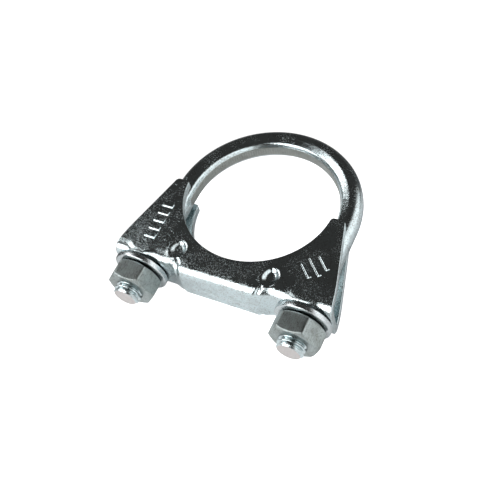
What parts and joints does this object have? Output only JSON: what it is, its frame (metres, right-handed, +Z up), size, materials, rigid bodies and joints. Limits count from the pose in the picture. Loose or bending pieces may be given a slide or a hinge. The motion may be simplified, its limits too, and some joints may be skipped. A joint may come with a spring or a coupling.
{
  "type": "u-bolt pipe clamp",
  "caption": "U-bolt pipe clamp: a bent round bar with threaded legs through a pressed channel saddle that cradles a pipe, drawn up by hex nuts on flat washers.",
  "frame": {"origin": "under the middle of the clamp's box, on the surface that the clamp lies on", "axes": "+X across the two legs, +Y from the nuts towards the bow, +Z up along the axis of the clamped pipe"},
  "size_m": [0.066, 0.0686, 0.016],
  "materials": {
    "bright_zinc": "bright zinc plated steel, near mirror with fine scratches",
    "satin_zinc": "satin zinc plated steel",
    "washer_zinc": "zinc plated steel, slightly satin"
  },
  "bodies": {
    "saddle": {"saddle": "bright_zinc"},
    "u_bolt": {"u_bolt": "bright_zinc"},
    "left_nut": {"left_nut": "satin_zinc"},
    "right_nut": {"right_nut": "satin_zinc"},
    "left_washer": {"left_washer": "washer_zinc"},
    "right_washer": {"right_washer": "washer_zinc"}
  },
  "joints": [
    {"name": "u_bolt_draw", "type": "slide", "parent": "saddle", "child": "u_bolt", "axis": [0, -1, 0], "range_m": [-0.0025, 0.01625]},
    {"name": "left_nut_turn", "type": "hinge", "parent": "saddle", "child": "left_nut", "pos_m": [-0.025, -0.02863, 0.008], "axis": [0, 1, 0], "range_deg": [-721, 4681]},
    {"name": "right_nut_turn", "type": "hinge", "parent": "saddle", "child": "right_nut", "pos_m": [0.025, -0.02863, 0.008], "axis": [0, 1, 0], "range_deg": [-721, 4681]},
    {"name": "left_washer_spin", "type": "hinge", "parent": "saddle", "child": "left_washer", "pos_m": [-0.025, -0.02463, 0.008], "axis": [0, 1, 0], "continuous": true},
    {"name": "right_washer_spin", "type": "hinge", "parent": "saddle", "child": "right_washer", "pos_m": [0.025, -0.02463, 0.008], "axis": [0, 1, 0], "continuous": true}
  ],
  "couplings": [
    {"joint": "left_nut_turn", "follows": "u_bolt_draw", "rad_per_m": 5026.5},
    {"joint": "right_nut_turn", "follows": "u_bolt_draw", "rad_per_m": 5026.5}
  ]
}
